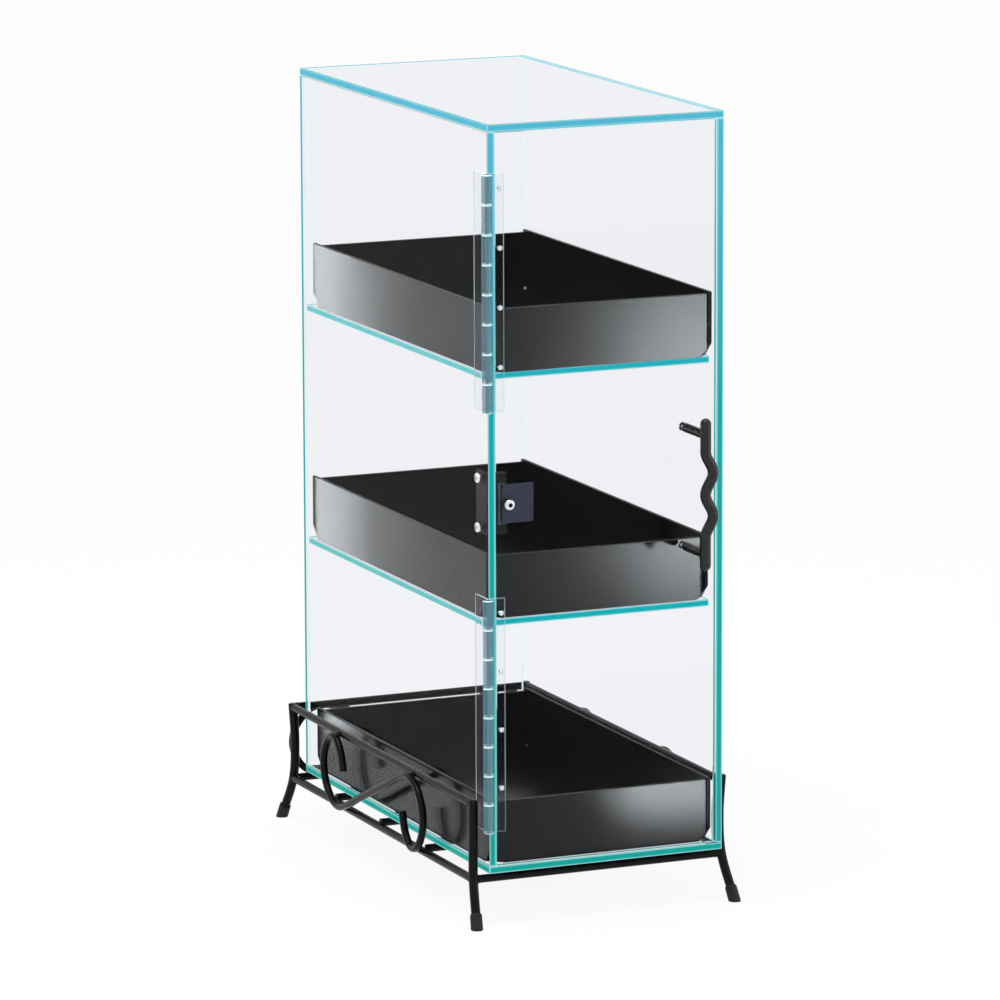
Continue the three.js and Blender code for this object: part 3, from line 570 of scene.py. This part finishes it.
# Handle: a bar with two soft waves on two posts, all in satin black paint. A screw through the door from
# inside holds each post.
satin_black, tree, shader = new_material("satin_black_handle", Specular_IOR_Level=0.25, Coat_Weight=0.08,
                                         Coat_Roughness=0.2)
sheen = add_mottle(tree, shader, blotch=60, grain=900, low=0.26, high=0.38, bump=0.12)
two_tones(tree, shader, sheen.outputs["Mask"], (0.007, 0.007, 0.008), (0.015, 0.015, 0.017))
HANDLE_X, HANDLE_Y, HANDLE_Z = 181.0, -40.0, 317.5
HALF_LENGTH, WAVE, DEPTH, BAR_RADIUS = 60.3, 36.7, 7.0, 0.00465
HALF_SPACING, POST_RADIUS, POST_YS = 50.8, 0.004, (-0.4, -1.2, -3, -12, -24, -32, -37)
line = []
for i in range(97):
    along = (i / 48 - 1) * HALF_LENGTH
    swell = DEPTH * (1 - math.cos(2 * math.pi * along / WAVE)) / 2 if abs(along) < WAVE else 0.0
    line.append(at(HANDLE_X + swell, HANDLE_Y, HANDLE_Z + along))
bm = bmesh.new()
rod(bm, line, BAR_RADIUS, sides=28, dome=6)
add_piece("handle_bar_rod", bm, "door", [satin_black], ["handle_bar"])
for level, z in (("lower", HANDLE_Z - HALF_SPACING), ("upper", HANDLE_Z + HALF_SPACING)):
    bm = bmesh.new()
    rod(bm, [at(HANDLE_X, y, z) for y in POST_YS], POST_RADIUS, sides=24)
    foot = [e for f in bm.faces if len(f.verts) > 4 for e in f.edges]
    bmesh.ops.bevel(bm, geom=foot, offset=0.0006, segments=2, profile=0.5, affect="EDGES", material=-1)
    add_piece(f"handle_{level}_post_rod", bm, "door", [satin_black],
              [f"handle_{level}_post"])
    button_screw(f"handle_{level}_button_screw", "door", [f"handle_{level}_screw"], at(HANDLE_X, 6.3, z),
                 Vector((0, -1, 0)), head=4.0, height=2.6, shank=1.9, length=18)

# Trays: three loose trays, each folded from black plastic sheet, with end flaps and open lower corners. They
# rest on the shelves and the bottom, and their cut top edges are lighter, partly as the sheet's cut edge and
# partly as a painted highlight.
tray_black, tree, shader = new_material("tray_black", Specular_IOR_Level=0.15)
sheen = add_mottle(tree, shader, blotch=14, grain=700, low=0.135, high=0.15, bump=0.001)
two_tones(tree, shader, sheen.outputs["Mask"], (0.0022, 0.0022, 0.0025), (0.0045, 0.0045, 0.005))
# A lighter grey for the rims' upward faces: partly the sheet's cut edge, partly a painted highlight.
cut_edge_and_highlight, tree, shader = new_material("tray_cut_edge", Specular_IOR_Level=0.1)
sheen = add_mottle(tree, shader, blotch=200, grain=1200, low=0.4, high=0.6, bump=0.2)
two_tones(tree, shader, sheen.outputs["Mask"], (0.028, 0.028, 0.029), (0.06, 0.06, 0.061))
RIM_DEPTH = 0.0035
trays = bpy.data.collections.new("trays")
for level in ("lower", "middle", "upper"):
    piece = eased_copy(f"{level}_tray", f"{level}_tray", tray_black, ease=0.35)
    trays.objects.link(piece)
    piece.data.materials.append(cut_edge_and_highlight)
    # Upward faces at the rim take the lighter grey, in part a painted highlight.
    rim_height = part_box(f"{level}_tray")[1].z - RIM_DEPTH
    for polygon in piece.data.polygons:
        if polygon.normal.z > 0.3 and polygon.center.z > rim_height:
            polygon.material_index = 1

# Studio: a white floor that keeps a soft shadow, under a white surround that metal and sheets show too.
# Narrow lamps beside the object give the black sheet of the trays its grey gradients.
FLOOR_HALF, FLOOR_BACK = 12, 4
bm = bmesh.new()
bmesh.ops.create_grid(bm, x_segments=2, y_segments=2, size=FLOOR_HALF)
bmesh.ops.translate(bm, vec=(0, FLOOR_BACK, 0), verts=bm.verts)
mesh = bpy.data.meshes.new("floor")
bm.to_mesh(mesh)
bm.free()
floor = bpy.data.objects.new("floor", mesh)
bpy.context.scene.collection.objects.link(floor)


def by_ray(tree, seen, other):
    """One value for camera rays and for those through sheets or off gloss, and another for the rest."""
    path, value = tree.nodes.new("ShaderNodeLightPath"), None
    for ray in ("Is Camera Ray", "Is Transmission Ray", "Is Glossy Ray"):
        mix = tree.nodes.new("ShaderNodeMix")
        mix.inputs["A"].default_value, mix.inputs["B"].default_value = other, seen
        tree.links.new(path.outputs[ray], mix.inputs["Factor"])
        if value is not None:
            tree.links.new(value, mix.inputs["A"])
        value = mix.outputs["Result"]
    return value


paper = bpy.data.materials.new("white_paper")
paper.use_nodes = True
paper.cycles.emission_sampling = "NONE"
PAPER_GLOW = 0.92
tree = paper.node_tree
tree.nodes.clear()
glow = tree.nodes.new("ShaderNodeEmission")
lit = tree.nodes.new("ShaderNodeBsdfDiffuse")
lit.inputs["Color"].default_value = (0.9, 0.9, 0.9, 1)
blend = tree.nodes.new("ShaderNodeMixShader")
tree.links.new(by_ray(tree, seen=PAPER_GLOW, other=0.0), blend.inputs["Fac"])
tree.links.new(lit.outputs["BSDF"], blend.inputs[1])
tree.links.new(glow.outputs["Emission"], blend.inputs[2])
tree.links.new(blend.outputs["Shader"], tree.nodes.new("ShaderNodeOutputMaterial").inputs["Surface"])
mesh.materials.append(paper)

world = bpy.data.worlds.new("studio")
bpy.context.scene.world = world
world.use_nodes = True
tree = world.node_tree
tree.links.new(by_ray(tree, seen=1.0, other=0.75), tree.nodes["Background"].inputs["Strength"])
tree.nodes["Background"].inputs["Color"].default_value = (1, 1, 1, 1)


def soft_box(name, place, target, width, height, power, receivers=None):
    """A rectangular lamp that lights satin surfaces but isn't mirrored in the sheets. With receivers, it
    lights that collection alone."""
    data = bpy.data.lights.new(name, "AREA")
    data.shape, data.size, data.size_y, data.energy = "RECTANGLE", width, height, power
    data.cycles.use_multiple_importance_sampling = False
    lamp = bpy.data.objects.new(name, data)
    lamp.location = place
    lamp.rotation_euler = (Vector(target) - Vector(place)).to_track_quat("-Z", "Y").to_euler()
    lamp.visible_camera = lamp.visible_transmission = False
    if receivers:
        lamp.light_linking.receiver_collection = receivers
    bpy.context.scene.collection.objects.link(lamp)


soft_box("overhead_box", (-0.5, -0.3, 2.2), (0, 0, 0.3), width=0.9, height=1.6, power=30)
soft_box("back_left_box", (-0.217, 0.49, 0.27), (-0.1, 0.22, 0.33),
         width=0.04, height=0.5, power=2.5, receivers=trays)
soft_box("front_right_box", (0.86, -1.68, 0.14), (0.1, -0.2, 0.4),
         width=0.28, height=0.26, power=9.8, receivers=trays)
soft_box("front_middle_box", (0.60, -1.18, 0.08), (0.1, -0.2, 0.28),
         width=0.2, height=0.1, power=1.8, receivers=trays)
soft_box("front_low_box", (0.28, -0.42, 0.03), (0.12, -0.2, 0.08),
         width=0.3, height=0.05, power=3.0, receivers=trays)
soft_box("side_strip", (1.1, -1.0, 0.5), (0, 0, 0.3), width=0.1, height=0.8, power=3)

# Camera: a long lens well in front of the case, to its left and above it, as the photograph was taken. Its
# depth of field and shift are left off.
lens = bpy.data.cameras.new("camera")
lens.sensor_width, lens.lens = 36.0, 237.92
lens.clip_end = 100
camera = bpy.data.objects.new("camera", lens)
bpy.context.scene.collection.objects.link(camera)
bpy.context.scene.camera = camera
VIEWPOINT = (-2.24782, -5.16161, 1.40549)
yaw, pitch, roll = math.radians(23.445), math.radians(-10.879), math.radians(-0.196)
camera.matrix_world = (Matrix.Translation(VIEWPOINT) @ Matrix.Rotation(-yaw, 4, "Z")
                       @ Matrix.Rotation(math.pi / 2 + pitch, 4, "X") @ Matrix.Rotation(roll, 4, "Z"))
bpy.context.scene.view_settings.view_transform = "Standard"
